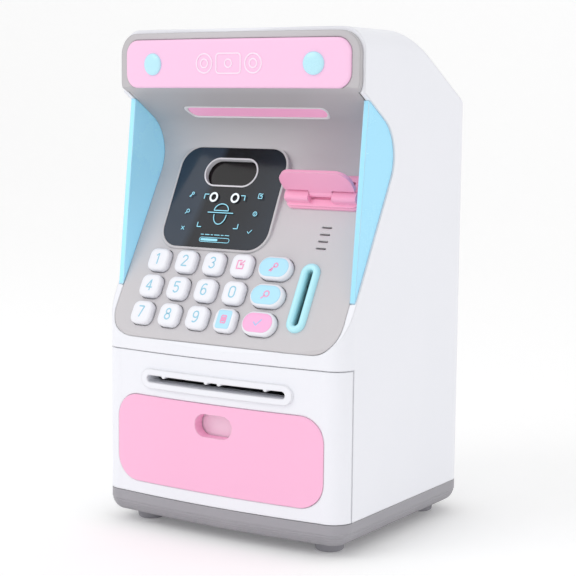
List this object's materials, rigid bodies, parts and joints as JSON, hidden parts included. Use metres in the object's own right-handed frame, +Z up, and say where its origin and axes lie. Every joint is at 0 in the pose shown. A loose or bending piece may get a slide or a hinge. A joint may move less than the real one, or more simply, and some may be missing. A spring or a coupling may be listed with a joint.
{
  "type": "toy savings bank",
  "caption": "Toy cash machine savings bank with a sloped keypad console, screen, coin flap, card slot, note feed and a locking front door over a cash box.",
  "frame": {"origin": "centre of the bounding box's footprint, on the surface the feet stand on", "axes": "+Z up, front face towards -Y, the viewer's right is +X"},
  "size_m": [0.122, 0.1138, 0.215],
  "materials": {
    "white_shell": "satin white",
    "base_grey": "satin",
    "foot_rubber": "matte",
    "panel_grey": "satin",
    "pale_pink": "satin",
    "stud_blue": "gloss",
    "lamp_pink": "gloss",
    "window_blue": "gloss",
    "screen_dark": "gloss",
    "bezel_grey": "gloss",
    "lens_black": "gloss",
    "flap_pink": "satin",
    "slot_blue": "satin",
    "key_white": "satin",
    "key_blue": "satin",
    "key_pink": "satin",
    "membrane": "matte",
    "board_green": "matte",
    "speaker_black": "matte",
    "inner_plastic": "matte",
    "steel": "bright",
    "motor_steel": "satin",
    "coil_copper": "satin",
    "brass": "bright",
    "roller_rubber": "matte",
    "gear_ivory": "matte",
    "cell_wrap": "gloss",
    "switch_black": "matte"
  },
  "bodies": {
    "casing": {"main_casing": "white_shell", "rear_cover": "white_shell", "base_tray": "base_grey", "feet": "foot_rubber", "fascia": "panel_grey", "header_plate": "pale_pink", "header_stud_left": "stud_blue", "header_stud_right": "stud_blue", "lamp_lens": "lamp_pink", "side_window_left": "window_blue", "side_window_right": "window_blue", "screen_panel": "screen_dark", "sensor_bezel": "bezel_grey", "sensor_lens": "lens_black", "coin_frame": "flap_pink", "coin_flap_pin": "steel", "coin_chute": "inner_plastic", "card_frame": "slot_blue", "card_guide": "inner_plastic", "key_membrane": "membrane", "key_board": "board_green", "display_board": "board_green", "main_board": "board_green", "speaker": "speaker_black", "latch_coil": "coil_copper", "feed_frame": "inner_plastic", "feed_motor": "motor_steel", "battery_box": "inner_plastic", "battery_cells": "cell_wrap", "battery_cover": "white_shell", "case_screws": "steel"},
    "door": {"front_door": "white_shell", "door_panel": "pale_pink", "door_hinge_pins": "steel"},
    "flap": {"coin_flap": "flap_pink"},
    "bolt": {"latch_bolt": "steel"},
    "drive": {"drive_roller": "roller_rubber"},
    "pinch": {"pinch_roller": "roller_rubber"},
    "idler": {"idler_gear": "gear_ivory"},
    "pinion": {"motor_pinion": "brass"},
    "switch": {"switch_knob": "switch_black"},
    "key_1_cap": {"key_1": "key_white"},
    "key_2_cap": {"key_2": "key_white"},
    "key_3_cap": {"key_3": "key_white"},
    "key_4_cap": {"key_4": "key_white"},
    "key_5_cap": {"key_5": "key_white"},
    "key_6_cap": {"key_6": "key_white"},
    "key_7_cap": {"key_7": "key_white"},
    "key_8_cap": {"key_8": "key_white"},
    "key_9_cap": {"key_9": "key_white"},
    "key_0_cap": {"key_0": "key_white"},
    "key_save_cap": {"key_save": "key_white"},
    "key_menu_cap": {"key_menu": "key_white"},
    "key_unlock_cap": {"key_unlock": "key_blue"},
    "key_search_cap": {"key_search": "key_blue"},
    "key_confirm_cap": {"key_confirm": "key_pink"}
  },
  "joints": [
    {"name": "door_swing", "type": "hinge", "parent": "casing", "child": "door", "pos_m": [-0.0587, -0.0463, 0.045], "axis": [0, 0, -1], "range_deg": [0, 85]},
    {"name": "coin_flap_tilt", "type": "hinge", "parent": "casing", "child": "flap", "pos_m": [0.0325, -0.02354, 0.14685], "axis": [1, 0, 0], "range_deg": [-74, 0]},
    {"name": "latch_slide", "type": "slide", "parent": "casing", "child": "bolt", "axis": [0, 0, -1], "range_m": [0, 0.004], "stiffness_N_per_m": 200, "springref_m": -0.002},
    {"name": "drive_roller_turn", "type": "hinge", "parent": "casing", "child": "drive", "pos_m": [0, -0.038, 0.0613], "axis": [1, 0, 0], "continuous": true},
    {"name": "pinch_roller_turn", "type": "hinge", "parent": "casing", "child": "pinch", "pos_m": [0, -0.038, 0.0711], "axis": [1, 0, 0], "continuous": true},
    {"name": "switch_slide", "type": "slide", "parent": "casing", "child": "switch", "axis": [0, 0, 1], "range_m": [0, 0.0038]},
    {"name": "idler_turn", "type": "hinge", "parent": "casing", "child": "idler", "pos_m": [0.041, -0.02307, 0.05775], "axis": [1, 0, 0], "continuous": true},
    {"name": "motor_pinion_turn", "type": "hinge", "parent": "casing", "child": "pinion", "pos_m": [0.041, -0.014, 0.067], "axis": [1, 0, 0], "continuous": true},
    {"name": "key_1_press", "type": "slide", "parent": "casing", "child": "key_1_cap", "axis": [0, 0.8746, -0.4848], "range_m": [0, 0.0012], "stiffness_N_per_m": 400, "springref_m": -0.0005},
    {"name": "key_2_press", "type": "slide", "parent": "casing", "child": "key_2_cap", "axis": [0, 0.8746, -0.4848], "range_m": [0, 0.0012], "stiffness_N_per_m": 400, "springref_m": -0.0005},
    {"name": "key_3_press", "type": "slide", "parent": "casing", "child": "key_3_cap", "axis": [0, 0.8746, -0.4848], "range_m": [0, 0.0012], "stiffness_N_per_m": 400, "springref_m": -0.0005},
    {"name": "key_4_press", "type": "slide", "parent": "casing", "child": "key_4_cap", "axis": [0, 0.8746, -0.4848], "range_m": [0, 0.0012], "stiffness_N_per_m": 400, "springref_m": -0.0005},
    {"name": "key_5_press", "type": "slide", "parent": "casing", "child": "key_5_cap", "axis": [0, 0.8746, -0.4848], "range_m": [0, 0.0012], "stiffness_N_per_m": 400, "springref_m": -0.0005},
    {"name": "key_6_press", "type": "slide", "parent": "casing", "child": "key_6_cap", "axis": [0, 0.8746, -0.4848], "range_m": [0, 0.0012], "stiffness_N_per_m": 400, "springref_m": -0.0005},
    {"name": "key_7_press", "type": "slide", "parent": "casing", "child": "key_7_cap", "axis": [0, 0.8746, -0.4848], "range_m": [0, 0.0012], "stiffness_N_per_m": 400, "springref_m": -0.0005},
    {"name": "key_8_press", "type": "slide", "parent": "casing", "child": "key_8_cap", "axis": [0, 0.8746, -0.4848], "range_m": [0, 0.0012], "stiffness_N_per_m": 400, "springref_m": -0.0005},
    {"name": "key_9_press", "type": "slide", "parent": "casing", "child": "key_9_cap", "axis": [0, 0.8746, -0.4848], "range_m": [0, 0.0012], "stiffness_N_per_m": 400, "springref_m": -0.0005},
    {"name": "key_0_press", "type": "slide", "parent": "casing", "child": "key_0_cap", "axis": [0, 0.8746, -0.4848], "range_m": [0, 0.0012], "stiffness_N_per_m": 400, "springref_m": -0.0005},
    {"name": "key_save_press", "type": "slide", "parent": "casing", "child": "key_save_cap", "axis": [0, 0.8746, -0.4848], "range_m": [0, 0.0012], "stiffness_N_per_m": 400, "springref_m": -0.0005},
    {"name": "key_menu_press", "type": "slide", "parent": "casing", "child": "key_menu_cap", "axis": [0, 0.8746, -0.4848], "range_m": [0, 0.0012], "stiffness_N_per_m": 400, "springref_m": -0.0005},
    {"name": "key_unlock_press", "type": "slide", "parent": "casing", "child": "key_unlock_cap", "axis": [0, 0.8746, -0.4848], "range_m": [0, 0.0012], "stiffness_N_per_m": 400, "springref_m": -0.0005},
    {"name": "key_search_press", "type": "slide", "parent": "casing", "child": "key_search_cap", "axis": [0, 0.8746, -0.4848], "range_m": [0, 0.0012], "stiffness_N_per_m": 400, "springref_m": -0.0005},
    {"name": "key_confirm_press", "type": "slide", "parent": "casing", "child": "key_confirm_cap", "axis": [0, 0.8746, -0.4848], "range_m": [0, 0.0012], "stiffness_N_per_m": 400, "springref_m": -0.0005}
  ],
  "couplings": [
    {"joint": "pinch_roller_turn", "follows": "drive_roller_turn", "ratio": -1.1111},
    {"joint": "idler_turn", "follows": "drive_roller_turn", "ratio": -0.9},
    {"joint": "motor_pinion_turn", "follows": "drive_roller_turn", "ratio": 1.5}
  ]
}
